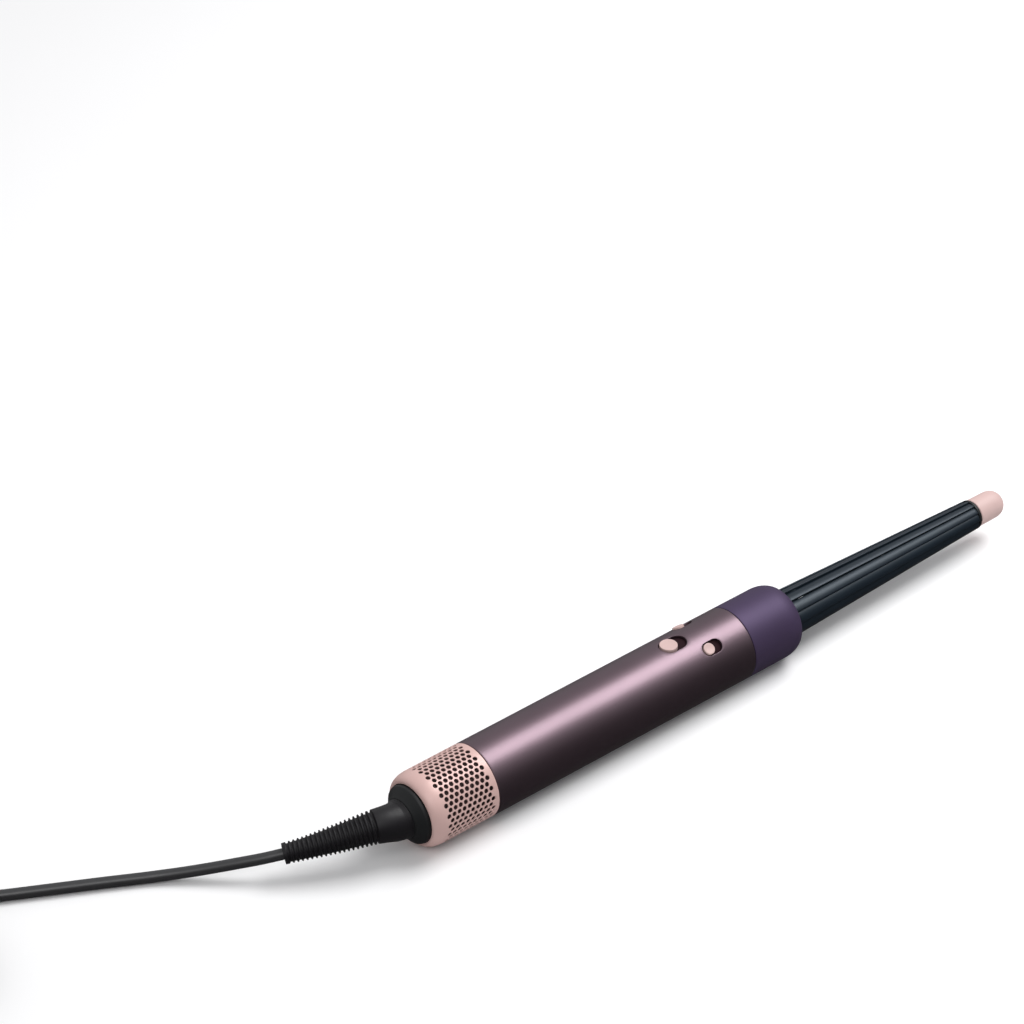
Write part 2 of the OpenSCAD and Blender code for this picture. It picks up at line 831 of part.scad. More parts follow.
// Local Z runs from the plug's face back along the cord
module plug_frame() {
    translate([plug_x, plug_face, plug_z]) rotate([-90, 0, 0]) children();
}
module plug_body() {
    color(soft_black) difference() {
        intersection() {
            plug_frame() rotate_extrude()
                polygon([
                    [0, 0], [plug_r - 0.8, 0], [plug_r, 0.8], [plug_r, 12], [15, 18], [8.5, 22],
                    [6.5, 25], [4.6, 36], [cord_d / 2, 36], [cord_d / 2, 24], [0, 24]
                ]);
            translate([plug_x - 30, -10, 0]) cube([60, 60, 2 * plug_z]);
        }
        for (side = [-1, 1])
            plug_frame() translate([side * pin_gap / 2, 0, -1]) cylinder(r = pin_root, h = 9);
    }
}
module plug_pins() {
    color(steel) plug_frame() for (side = [-1, 1])
        translate([side * pin_gap / 2, 0, -pin_len]) {
            cylinder(r1 = pin_d / 2 - 0.8, r2 = pin_d / 2, h = 1.2);
            translate([0, 0, 1.2]) cylinder(d = pin_d, h = pin_len - 1.2);
            translate([0, 0, pin_len]) cylinder(r = pin_root, h = 8);
        }
}

handle_shell();
intake_frame();
cable_bell();
inner_lead();
cord_clamp();
clamp_screws();
power_leads();
motor_housing();
rear_motor_mount();
front_motor_mount();
diffuser();
motor_spider();
stator_core();
stator_windings();
rotor_bearings();
inverter_board();
duct_adapter();
heater_sleeve();
heater_card();
heater_coils();
thermal_fuse();
thermistor();
control_board();
board_components();
switch_carrier();
slide_switches();
outlet_spigot();
outlet_seal();
outlet_grille();
latch_spring();
filter_cage();
filter_mesh();
filter_seal();
power_button();
power_plate();
airflow_button();
airflow_plate();
temperature_button();
temperature_plate();
release_button();
impeller();
motor_shaft();
rotor_magnet();
attachment_collar();
socket_sleeve();
selector_plate();
barrel_shell();
barrel_core();
barrel_end_ring();
cool_tip();
tip_spindle();
airflow_shutter();
strain_relief();
cord_run();
cord_coil();
cord_tail();
cord_tie();
plug_body();
plug_pins();
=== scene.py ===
"""Looks of the hair curler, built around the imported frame. Local lengths are in millimetres."""

import json
import math

import bmesh
import bpy
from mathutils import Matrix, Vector


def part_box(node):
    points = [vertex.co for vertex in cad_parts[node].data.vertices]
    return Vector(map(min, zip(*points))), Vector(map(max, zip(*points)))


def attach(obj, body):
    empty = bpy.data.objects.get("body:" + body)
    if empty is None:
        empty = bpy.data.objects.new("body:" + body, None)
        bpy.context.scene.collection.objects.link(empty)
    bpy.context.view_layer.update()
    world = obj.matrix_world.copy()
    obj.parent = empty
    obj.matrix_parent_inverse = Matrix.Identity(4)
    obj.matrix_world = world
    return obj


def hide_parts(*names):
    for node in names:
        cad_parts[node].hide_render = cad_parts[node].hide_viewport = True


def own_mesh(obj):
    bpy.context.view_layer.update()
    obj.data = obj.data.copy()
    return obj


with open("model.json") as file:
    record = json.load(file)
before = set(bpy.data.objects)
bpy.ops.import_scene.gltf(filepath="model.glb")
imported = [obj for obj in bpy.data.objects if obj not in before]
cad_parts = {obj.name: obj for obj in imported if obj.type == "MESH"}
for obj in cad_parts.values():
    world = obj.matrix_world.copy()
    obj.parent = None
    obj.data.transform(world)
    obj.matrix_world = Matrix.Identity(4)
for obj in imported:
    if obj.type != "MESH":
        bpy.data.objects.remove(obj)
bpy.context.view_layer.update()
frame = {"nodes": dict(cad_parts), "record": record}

MM = 0.001
BODY_R = 20.5
AXIS_Z = BODY_R  # height of the handle's axis: it lies on the floor

# Stations along the handle's axis
RING_X = -203.0  # bell to filter cage
CAGE_X = -162.0  # filter cage to handle tube
COLLAR_X = 13.0  # handle tube to collar
RIM_X = 50.0  # collar to barrel
TIP_X = 193.0  # barrel to cool tip

# Controls: places of the slots and buttons
POWER_X, POWER_R, POWER_TRAVEL = -31.0, 4.8, 5.6
SMALL_X, SMALL_R, SMALL_TRAVEL = -13.4, 3.2, 4.8
SMALL_ANGLE = 36
RELEASE_X, RELEASE_R, RELEASE_LEN = -5.0, 3.2, 3.4
SLOT_PLAY = 0.6

CAM_PLACE = (-1.2019, -1.2670, 1.3787)
CAM_TURN = (54.0, 0.0, -40.044)
CAM_LENS = 147.66
LOW_SKY = (0.060, 0.058, 0.060)
HIGH_SKY = (0.62, 0.62, 0.625)
KEY_POWER = 19.5
FILL_POWER = 7.0


# ---------------------------------------------------------------- camera
def make_camera():
    data = bpy.data.cameras.new("camera")
    data.lens = CAM_LENS
    data.sensor_width = 36
    data.clip_end = 30
    cam = bpy.data.objects.new("camera", data)
    cam.location = CAM_PLACE
    cam.rotation_euler = [math.radians(a) for a in CAM_TURN]
    bpy.context.scene.collection.objects.link(cam)
    bpy.context.scene.camera = cam


# ---------------------------------------------------------------- mesh helpers
def add_object(name, verts, faces, body, slot=None, replaces=(), sharp=38):
    """A smooth-shaded mesh piece from millimetre points, with edges over `sharp` degrees kept crisp."""
    mesh = bpy.data.meshes.new(name)
    mesh.from_pydata([tuple(c * MM for c in v) for v in verts], [], faces)
    mesh.validate()
    solid = bmesh.new()
    solid.from_mesh(mesh)
    bmesh.ops.recalc_face_normals(solid, faces=solid.faces)
    solid.to_mesh(mesh)
    solid.free()
    mesh.shade_smooth()
    mesh.set_sharp_from_angle(angle=math.radians(sharp))
    mesh.update()
    piece = bpy.data.objects.new(name, mesh)
    bpy.context.scene.collection.objects.link(piece)
    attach(piece, body)
    if slot:
        mesh.materials.append(finish(slot))
    if replaces:
        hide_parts(*replaces)
    return piece


class Builder:
    """Collects points and faces of one piece."""

    def __init__(self):
        self.verts = []
        self.faces = []

    def point(self, p):
        self.verts.append(tuple(p))
        return len(self.verts) - 1

    def loop(self, points):
        return [self.point(p) for p in points]

    def bridge(self, a, b):
        n = len(a)
        for k in range(n):
            m = (k + 1) % n
            self.faces.append((a[k], a[m], b[m], b[k]))

    def cap(self, ring, flip=False):
        self.faces.append(tuple(reversed(ring)) if flip else tuple(ring))

    def add(self, other):
        """Takes in another builder's points and faces."""
        shift = len(self.verts)
        self.verts += other.verts
        self.faces += [tuple(i + shift for i in face) for face in other.faces]


def on_axis(x, r, angle):
    """Point of the handle: angle in degrees from the top, towards -Y."""
    a = math.radians(angle)
    return (x, -r * math.sin(a), AXIS_Z + r * math.cos(a))


def lathe(profile, segments=160, closed=True, place=on_axis):
    """Surface of revolution of (x, r) pairs about the handle's axis; r = 0 ends it in a point."""
    b = Builder()
    rings = []
    for x, r in profile:
        if r < 1e-6:
            rings.append([b.point(place(x, 0, 0))])
        else:
            rings.append(b.loop([place(x, r, 360 * k / segments) for k in range(segments)]))
    pairs = list(zip(rings, rings[1:]))
    if closed:
        pairs.append((rings[-1], rings[0]))
    for p, q in pairs:
        if len(p) == 1 and len(q) == 1:
            continue
        if len(p) == 1:
            for k in range(len(q)):
                b.faces.append((p[0], q[(k + 1) % len(q)], q[k]))
        elif len(q) == 1:
            for k in range(len(p)):
                b.faces.append((p[k], p[(k + 1) % len(p)], q[0]))
        else:
            b.bridge(p, q)
    return b


def rounded(points, radius=0.25, steps=4):
    """The closed profile with every corner rounded."""
    out = []
    n = len(points)
    for i, p in enumerate(points):
        p = Vector(p)
        a, c = Vector(points[i - 1]), Vector(points[(i + 1) % n])
        u, v = (a - p), (c - p)
        if u.length < 1e-6 or v.length < 1e-6:
            continue
        bend = u.angle(v)
        if bend > math.radians(168) or p[1] < 1e-6:
            out.append(tuple(p))
            continue
        cut = min(radius, u.length * 0.45, v.length * 0.45)
        s, e = p + u.normalized() * cut, p + v.normalized() * cut
        for k in range(steps + 1):
            t = k / steps
            out.append(tuple((1 - t) ** 2 * s + 2 * t * (1 - t) * p + t * t * e))
    return out


def catmull(points, n):
    """The curve that part.scad draws through the route's points, with n steps between each two."""
    pts = [Vector(p) for p in points]
    out = []
    for i in range(len(pts) - 1):
        a, b = pts[max(i - 1, 0)], pts[i]
        c, d = pts[i + 1], pts[min(i + 2, len(pts) - 1)]
        for k in range(n):
            t = k / n
            out.append(0.5 * (2 * b + (c - a) * t + (2 * a - 5 * b + 4 * c - d) * t * t
                              + (3 * b - a - 3 * c + d) * t ** 3))
    out.append(pts[-1])
    return out


def arc_lengths(path):
    total = [0.0]
    for a, b in zip(path, path[1:]):
        total.append(total[-1] + (b - a).length)
    return total


def resample(path, step):
    """The same line with points an even step apart."""
    s = arc_lengths(path)
    count = max(2, round(s[-1] / step))
    out, j = [], 0
    for i in range(count + 1):
        want = s[-1] * i / count
        while j < len(s) - 2 and s[j + 1] < want:
            j += 1
        t = (want - s[j]) / max(s[j + 1] - s[j], 1e-9)
        out.append(path[j].lerp(path[j + 1], min(max(t, 0), 1)))
    return out


def tube(path, radius, sides):
    """Round tube along a path; radius is a number or a function of the distance along it."""
    b = Builder()
    s = arc_lengths(path)
    rings = []
    for i, p in enumerate(path):
        t = (path[min(i + 1, len(path) - 1)] - path[max(i - 1, 0)]).normalized()
        side = Vector((0, 0, 1)).cross(t)
        side = side.normalized() if side.length > 1e-4 else Vector((0, 1, 0))
        up = t.cross(side)
        r = radius(s[i]) if callable(radius) else radius
        ring = []
        for k in range(sides):
            a = 2 * math.pi * k / sides
            ring.append(b.point(p + r * (math.cos(a) * side + math.sin(a) * up)))
        rings.append(ring)
    for p, q in zip(rings, rings[1:]):
        b.bridge(q, p)
    b.cap(rings[0])
    b.cap(rings[-1], flip=True)
    return b


# ---------------------------------------------------------------- materials
class Nodes:
    """Short names for the shader nodes of one material."""

    def __init__(self, name):
        self.mat = bpy.data.materials.new(name)
        self.mat.use_nodes = True
        self.tree = self.mat.node_tree
        self.shader = self.tree.nodes["Principled BSDF"]
        self.coords = self.new("ShaderNodeTexCoord").outputs["Object"]

    def new(self, kind):
        return self.tree.nodes.new(kind)

    def link(self, a, b):
        self.tree.links.new(a, b)

    def scaled(self, x=1, y=1, z=1):
        node = self.new("ShaderNodeMapping")
        node.inputs["Scale"].default_value = (x, y, z)
        self.link(self.coords, node.inputs["Vector"])
        return node.outputs[0]

    def noise(self, scale, detail=3, rough=0.5, vector=None):
        node = self.new("ShaderNodeTexNoise")
        node.inputs["Scale"].default_value = scale
        node.inputs["Detail"].default_value = detail
        node.inputs["Roughness"].default_value = rough
        self.link(vector or self.coords, node.inputs["Vector"])
        return node.outputs["Fac"]

    def voronoi(self, scale, feature="F1", vector=None):
        node = self.new("ShaderNodeTexVoronoi")
        node.feature = feature
        node.inputs["Scale"].default_value = scale
        self.link(vector or self.coords, node.inputs["Vector"])
        return node.outputs["Distance"]

    def wave(self, scale, direction="X", distort=0.0, vector=None):
        node = self.new("ShaderNodeTexWave")
        node.bands_direction = direction
        node.inputs["Scale"].default_value = scale
        node.inputs["Distortion"].default_value = distort
        self.link(vector or self.coords, node.inputs["Vector"])
        return node.outputs["Fac"]

    def ramp(self, fac, stops):
        node = self.new("ShaderNodeValToRGB")
        ramp = node.color_ramp
        while len(ramp.elements) < len(stops):
            ramp.elements.new(0.5)
        for e, (pos, colour) in zip(ramp.elements, stops):
            e.position = pos
            e.color = (*colour, 1) if len(colour) == 3 else colour
        self.link(fac, node.inputs["Fac"])
        return node.outputs["Color"]

    def span(self, fac, low, high, start=0.0, end=1.0):
        node = self.new("ShaderNodeMapRange")
        node.inputs["From Min"].default_value = start
        node.inputs["From Max"].default_value = end
        node.inputs["To Min"].default_value = low
        node.inputs["To Max"].default_value = high
        self.link(fac, node.inputs["Value"])
        return node.outputs["Result"]

    def maths(self, op, a, b):
        node = self.new("ShaderNodeMath")
        node.operation = op
        for socket, value in zip(node.inputs, (a, b)):
            if isinstance(value, (int, float)):
                socket.default_value = value
            else:
                self.link(value, socket)
        return node.outputs[0]

    def bump(self, height, distance, strength=1.0, under=None):
        node = self.new("ShaderNodeBump")
        node.inputs["Distance"].default_value = distance
        node.inputs["Strength"].default_value = strength
        self.link(height, node.inputs["Height"])
        if under:
            self.link(under, node.inputs["Normal"])
        self.link(node.outputs[0], self.shader.inputs["Normal"])
        return node.outputs[0]

    def colour(self, source):
        self.link(source, self.shader.inputs["Base Color"])

    def rough(self, source):
        self.link(source, self.shader.inputs["Roughness"])

    def set(self, **values):
        for key, value in values.items():
            self.shader.inputs[key.replace("_", " ")].default_value = value


def shade(colour, factor):
    return tuple(min(1, c * factor) for c in colour)


def satin_metal(name, colour, metallic=0.75, rough=0.3, coat=0.35, flake=0.10, grain=9000, gloss=0.5):
    """Satin lacquer over fine metal flake: tiny sparkle, slow mottling, very fine orange peel."""
    n = Nodes(name)
    mottle = n.noise(38, 3)
    fleck = n.voronoi(grain)
    both = n.maths("ADD", n.maths("MULTIPLY", mottle, 0.6), n.maths("MULTIPLY", fleck, 0.5))
    n.colour(n.ramp(both, [(0.25, shade(colour, 1 - flake)), (0.75, shade(colour, 1 + flake))]))
    n.rough(n.span(n.noise(2600, 2), rough - 0.035, rough + 0.035))
    first = n.bump(n.noise(5200, 2), 0.000012, 0.5)
    n.bump(n.noise(900, 2), 0.00004, 0.22, under=first)
    n.set(Metallic=metallic, Coat_Weight=coat, Coat_Roughness=0.14, Specular_IOR_Level=gloss)
    return n.mat


def moulded(name, colour, rough=0.42, grain=2600, depth=0.00003, mottle=0.06, gloss=0.5, tint=(1, 1, 1)):
    """Moulded plastic: fine spark-eroded grain and a slight unevenness of tone."""
    n = Nodes(name)
    n.colour(n.ramp(n.noise(55, 4), [(0.3, shade(colour, 1 - mottle)), (0.7, shade(colour, 1 + mottle))]))
    n.rough(n.span(n.noise(grain * 0.6, 3), rough - 0.06, rough + 0.06))
    first = n.bump(n.noise(grain, 4, 0.65), depth, 0.55)
    n.bump(n.noise(220, 2), 0.00012, 0.15, under=first)
    n.set(Specular_IOR_Level=gloss, Specular_Tint=(*tint, 1))
    return n.mat


def rubbery(name, colour, rough=0.55, grain=1800, dust=0.10, gloss=0.5, sheen=0.12):
    """Soft rubber: matt grain, a little sheen, faint paler dust in the low spots."""
    n = Nodes(name)
    n.colour(n.ramp(n.noise(140, 6, 0.7),
                    [(0.30, shade(colour, 0.85)), (0.62, colour), (0.85, shade(colour, 1.35 + dust))]))
    n.rough(n.span(n.noise(420, 4), rough - 0.08, rough + 0.08))
    first = n.bump(n.noise(grain, 5, 0.6), 0.00006, 0.6)
    n.bump(n.noise(90, 3), 0.0003, 0.12, under=first)
    n.set(Sheen_Weight=sheen, Sheen_Roughness=0.5, Specular_IOR_Level=gloss)
    return n.mat


def bare_metal(name, colour, rough=0.3, along="X", lines=900):
    """Machined metal with fine turning lines and small scratches."""
    n = Nodes(name)
    stretch = n.scaled(lines if along == "X" else 12, lines if along == "Y" else 12, 12)
    streak = n.noise(1.0, 4, 0.6, vector=stretch)
    n.colour(n.ramp(streak, [(0.3, shade(colour, 0.86)), (0.7, shade(colour, 1.08))]))
    n.rough(n.span(streak, rough - 0.08, rough + 0.1))
    n.bump(streak, 0.00002, 0.5)
    n.set(Metallic=1.0)
    return n.mat


def woven_mesh(name, colour):
    """Fine woven wire: crossed waves along and round the handle."""
    n = Nodes(name)
    a = n.wave(1050, "X")
    b = n.wave(1050, "Y")
    c = n.wave(1050, "Z")
    weave = n.maths("MULTIPLY", a, n.maths("MAXIMUM", b, c))
    # painted shade: the low parts of the weave, between the wires, go near black
    n.colour(n.ramp(weave, [(0.15, (0.012, 0.011, 0.012)), (0.6, shade(colour, 0.5)), (0.95, colour)]))
    n.rough(n.span(weave, 0.6, 0.35))
    n.bump(weave, 0.00015, 0.8)
    n.set(Metallic=0.55)
    return n.mat


def circuit(name, colour):
    """Solder mask with faint copper tracks under it."""
    n = Nodes(name)
    tracks = n.voronoi(420, "DISTANCE_TO_EDGE", vector=n.scaled(1, 1.6, 1))
    n.colour(n.ramp(tracks, [(0.02, shade(colour, 1.9)), (0.06, colour), (0.5, shade(colour, 0.85))]))
    n.rough(n.span(n.noise(700, 3), 0.28, 0.42))
    n.bump(tracks, 0.00005, 0.4)
    n.set(Coat_Weight=0.3)
    return n.mat


def mica_sheet(name, colour):
    """Pressed mica: pale flakes in layers with a pearly sheen."""
    n = Nodes(name)
    flakes = n.voronoi(600, "F1", vector=n.scaled(0.5, 1, 1))
    tint = n.ramp(flakes, [(0.1, shade(colour, 0.78)), (0.45, colour), (0.8, shade(colour, 1.2))])
    n.colour(tint)
    n.rough(n.span(n.noise(300, 4), 0.35, 0.6))
    n.bump(flakes, 0.00006, 0.5)
    n.set(Sheen_Weight=0.2)
    return n.mat


def winding(name, colour):
    """Enamelled wire laid side by side."""
    n = Nodes(name)
    turns = n.wave(380, "X", 0.4)
    # painted shade: the grooves between turns go darker, down to a third of the colour
    n.colour(n.ramp(turns, [(0.1, shade(colour, 0.35)), (0.7, colour)]))
    n.rough(n.span(turns, 0.45, 0.22))
    n.bump(turns, 0.0003, 0.8)
    n.set(Metallic=0.8, Coat_Weight=0.5)
    return n.mat


MAKERS = {
    "plum_metal": lambda s: satin_metal(s, (0.148, 0.106, 0.126), 0.95, 0.42, 0.06),
    "purple_metal": lambda s: satin_metal(s, (0.058, 0.038, 0.086), 0.45, 0.56, 0.0, gloss=0.38),
    "pink_metal": lambda s: satin_metal(s, (0.62, 0.415, 0.385), 0.15, 0.46, 0.14, 0.05, gloss=0.35),
    "pink_plastic": lambda s: moulded(s, (0.56, 0.40, 0.38), 0.46, mottle=0.03, gloss=0.35),
    "black_plastic": lambda s: moulded(s, (0.010, 0.011, 0.012), 0.48, gloss=0.34),
    # painted shade: darker, reddish, matt finish for the plates at the bottom of the button slots
    "slot_floor": lambda s: moulded(s, (0.020, 0.008, 0.011), 0.7, gloss=0.06),
    "black_rubber": lambda s: rubbery(s, (0.006, 0.005, 0.007), 0.5, gloss=0.3, sheen=0.03),
    "cord_rubber": lambda s: rubbery(s, (0.024, 0.024, 0.026), 0.36, 1400, gloss=0.7, sheen=0.0),
    "barrel_black": lambda s: moulded(s, (0.006, 0.011, 0.017), 0.42, 3400, 0.00002, gloss=0.38,
                                      tint=(0.80, 0.90, 1.0)),
    "steel": lambda s: bare_metal(s, (0.60, 0.61, 0.63), 0.3),
    "aluminium_die": lambda s: bare_metal(s, (0.64, 0.65, 0.66), 0.42, lines=300),
    "mica": lambda s: mica_sheet(s, (0.62, 0.57, 0.46)),
    "copper": lambda s: winding(s, (0.55, 0.22, 0.09)),
    "board": lambda s: circuit(s, (0.010, 0.090, 0.035)),
    "chip": lambda s: moulded(s, (0.022, 0.022, 0.025), 0.5),
    "wire_sheath": lambda s: moulded(s, (0.32, 0.02, 0.015), 0.35, 1500),
    "nylon_grey": lambda s: moulded(s, (0.13, 0.135, 0.14), 0.48),
    "silicone_red": lambda s: rubbery(s, (0.26, 0.03, 0.02), 0.45),
    "mesh_steel": lambda s: woven_mesh(s, (0.16, 0.09, 0.085)),
    "chrome_pin": lambda s: bare_metal(s, (0.66, 0.66, 0.67), 0.14, "Y"),
}
SLOT_FLOORS = ("power_plate", "airflow_plate", "temperature_plate")
made = {}


def finish(slot):
    if slot not in made:
        made[slot] = MAKERS[slot](slot)
    return made[slot]


def finish_nodes():
    """Gives every CAD node the finish of its slot; the plates under the buttons get a darker, reddish, matt
    finish instead: painted shade for the slots' recesses.
    """
    for row in frame["record"]["subparts"]:
        node = frame["nodes"][row["node"]]
        node.data.materials.clear()
        slot = "slot_floor" if row["node"] in SLOT_FLOORS else row["material_slot"]
        node.data.materials.append(finish(slot))


# ---------------------------------------------------------------- cord
RELIEF_ROUTE = [
    (-216, 0, 20.5), (-220, 0.5, 21.2), (-226, 2.6, 21.4), (-235, 6.6, 20.4), (-246, 11.6, 18.4),
    (-256, 16.4, 16.6), (-266.4, 22.5, 14.2),
]
CORD_ROUTE = [
    (-266.4, 22.5, 14.2), (-275, 28.2, 12.1), (-285, 35.6, 9.7), (-295, 43.3, 7.2), (-305, 50.8, 5.1),
    (-315, 58, 3.6), (-325, 64.3, 3), (-342, 74, 3), (-360, 84, 3), (-378, 94, 3),
    (-394, 103, 3.1), (-410, 112, 3.5), (-424, 119.8, 3.9), (-436, 126.4, 4),
]
TAIL_ROUTE = [
    (-458.5, 129.4, 19.6), (-470, 129.9, 19.6), (-482.3, 128.5, 19.5), (-494.2, 123.1, 18.6),
    (-503.1, 113.2, 17), (-508.5, 100.8, 15.2), (-510.5, 87.4, 13.8), (-510.5, 74, 13.1),
    (-510.5, 60, 13), (-510.5, 48, 13), (-510.5, 38, 13),
]
CORD_D = 6.0
COIL_CENTRE = (-458.5, 87.4)
COIL_START = 61.1  # degrees round the coil's centre where the cord joins it
COIL_TURNS = 10
MOVE_ARC = 90  # degrees over which a turn moves over to the next one
# Radius and height of each turn, from the first to the last
TURNS = [(r, z) for z, radii in (
    (4.0, (45, 39, 33, 27)), (9.2, (30, 36, 42)), (14.4, (45, 39, 33)), (19.6, (36, 42)),
) for r in radii]


def coil_path():
    """The winding, counter-clockwise, in and out again layer on layer."""
    moves = [COIL_START + 360]
    for i in range(1, len(TURNS) - 1):
        inside = TURNS[i - 1][1] == TURNS[i][1] == TURNS[i + 1][1]
        moves.append(moves[-1] + 360 - (0 if inside else MOVE_ARC))
    path, a, end = [], COIL_START + 1.5, 90 + 360 * COIL_TURNS
    while a < end:
        i = sum(1 for m in moves if a > m)
        r, z = TURNS[i]
        if i < len(moves) and a > moves[i] - MOVE_ARC:
            t = (a - moves[i] + MOVE_ARC) / MOVE_ARC
            t = t * t * (3 - 2 * t)
            r += (TURNS[i + 1][0] - r) * t
            z += (TURNS[i + 1][1] - z) * t
        q = math.radians(a)
        path.append(Vector((COIL_CENTRE[0] + r * math.cos(q), COIL_CENTRE[1] + r * math.sin(q), z)))
        a += 3.0
    return path


def make_cord():
    line = catmull(CORD_ROUTE, 8) + coil_path() + catmull(TAIL_ROUTE, 8)
    line = resample(line, 2.2)
    length = arc_lengths(line)[-1]
    b = tube(line, CORD_D / 2, 18)
    cord = add_object("cord", b.verts, b.faces, "handle", "cord_rubber",
                      ("cord_run", "cord_coil", "cord_tail"))
    return cord, line, length


def make_relief():
    """Flange in the bell, smooth sleeve, then thin ribs that taper towards the cord."""
    step, rib_steps = 0.23, 10
    # the sleeve rises a little on its way out of the bell, then joins the route
    rise = [(-209.5, 0, AXIS_Z), (-213, 0, 20.7), (-217, 0.2, 21.6), (-221, 1.0, 22.1), (-226, 2.8, 21.9)]
    line = resample(catmull(rise + RELIEF_ROUTE[3:], 12), step)
    total = arc_lengths(line)[-1]
    sleeve = 67 * step
    stops = [
        (0, 10.2), (0.2, 10.8), (0.65, 10.9), (1.1, 10.55), (2.6, 10.2), (4.5, 10.0), (7.5, 9.6),
        (11.5, 9.2), (sleeve, 8.9), (24, 8.35), (34, 7.6), (44, 6.75), (53, 6.0), (total, 5.45),
    ]

    def base(s):
        for (s0, r0), (s1, r1) in zip(stops, stops[1:]):
            if s <= s1:
                return r0 + (r1 - r0) * (s - s0) / (s1 - s0)
        return stops[-1][1]

    def radius(s):
        r = base(s)
        if s < sleeve or s > total - 1.6:
            return r
        phase = ((s - sleeve) / (rib_steps * step)) % 1
        dip = min(1, max(0, math.sin(math.pi * min(1, phase / 0.72)) * 1.6))
        return r - 0.15 * r * dip

    b = tube(line, radius, 40)
    return add_object("strain_relief_ribs", b.verts, b.faces, "handle", "black_rubber",
                      ("strain_relief",), 60)


# ---------------------------------------------------------------- plug and tie
PLUG = (-510.5, 6, 13)


def plug_point(u, v, w):
    """Plug's own axes: u across the pins, v up from the bench, w back along the cord from the face."""
    return (PLUG[0] + u, PLUG[1] + w, PLUG[2] + v)


def make_plug():
    """Round moulded plug with flattened top and bottom and a ribbed neck, and its two pins."""
    soft = 1.2  # depth over which the round side runs into the flat
    b = Builder()
    stations = [
        (0.0, 16.6), (0.35, 17.3), (1.0, 17.8), (3, 17.95), (9, 17.95), (11.5, 17.6), (13.5, 16.8),
        (15.5, 15.5), (17.5, 13.8), (19.5, 11.4), (21, 9.6), (22.5, 8.2), (24, 7.0),
        (25.2, 6.3), (26.2, 5.3), (27.2, 5.9), (28.2, 5.1), (29.2, 5.6), (30.2, 4.9), (31.2, 5.3),
        (32.2, 4.6), (33.2, 5.0), (34.2, 4.3), (35.4, 4.3), (35.9, 3.6),
    ]
    rings = []
    for w, r in stations:
        ring = []
        for k in range(96):
            a = 2 * math.pi * k / 96
            u, v = r * math.cos(a), r * math.sin(a)
            flat = (12.9 if w > 0.5 else 12.4) - soft
            if abs(v) > flat:
                v = math.copysign(flat + soft * (1 - math.exp((flat - abs(v)) / soft)), v)
            ring.append(b.point(plug_point(u, v, w)))
        rings.append(ring)
    for p, q in zip(rings, rings[1:]):
        b.bridge(p, q)
    b.cap(rings[0], flip=True)
    b.cap(rings[-1])
    piece = add_object("plug_shell", b.verts, b.faces, "handle", "black_rubber", ("plug_body",), 50)
    pins = Builder()
    for side in (-1, 1):
        rings = []
        for w, r in [(6, 2.35), (-0.1, 2.35), (-9.5, 2.35), (-10, 2.38), (-17.6, 2.38), (-18.4, 2.1),
                     (-18.85, 1.5), (-19, 0.9)]:
            ring = []
            for k in range(40):
                a = 2 * math.pi * k / 40
                ring.append(pins.point(plug_point(side * 9.5 + r * math.cos(a), r * math.sin(a), w)))
            rings.append(ring)
        for p, q in zip(rings, rings[1:]):
            pins.bridge(q, p)
        pins.cap(rings[0])
        pins.cap(rings[-1], flip=True)
    prongs = add_object("plug_prongs", pins.verts, pins.faces, "handle", "chrome_pin", ("plug_pins",), 40)
    return piece, prongs


def make_tie():
    """Soft strap round the winding, with rounded corners."""
    b = Builder()
    inner, outer, low, high = 23.6, 48.4, 0.6, 23.0
    corner, thick, half = 4.0, 0.5, 6.0
    outline = []
    for cx, cz, start in ((outer - corner, high - corner, 0), (inner + corner, high - corner, 90),
                          (inner + corner, low + corner, 180), (outer - corner, low + corner, 270)):
        for k in range(9):
            a = math.radians(start + k * 90 / 8)
            outline.append((cx + corner * math.cos(a), cz + corner * math.sin(a)))
    turn = math.radians(-60)
    loops = []
    for width, grow in ((-half, 0.0), (-half + 0.2, thick), (half - 0.2, thick), (half, 0.0),
                        (half - 0.2, -0.05), (-half + 0.2, -0.05)):
        ring = []
        n = len(outline)
        for i, (r, z) in enumerate(outline):
            p, q = Vector(outline[i - 1]), Vector(outline[(i + 1) % n])
            normal = Vector(((q - p)[1], -(q - p)[0])).normalized()
            r2, z2 = r + normal[0] * grow, z + normal[1] * grow
            x, y = r2 * math.cos(turn) - width * math.sin(turn), r2 * math.sin(turn) + width * math.cos(turn)
            ring.append(b.point((COIL_CENTRE[0] + x, COIL_CENTRE[1] + y, z2)))
        loops.append(ring)
    for p, q in zip(loops, loops[1:] + loops[:1]):
        b.bridge(q, p)
    return add_object("cord_strap", b.verts, b.faces, "handle", "black_rubber", ("cord_tie",), 50)


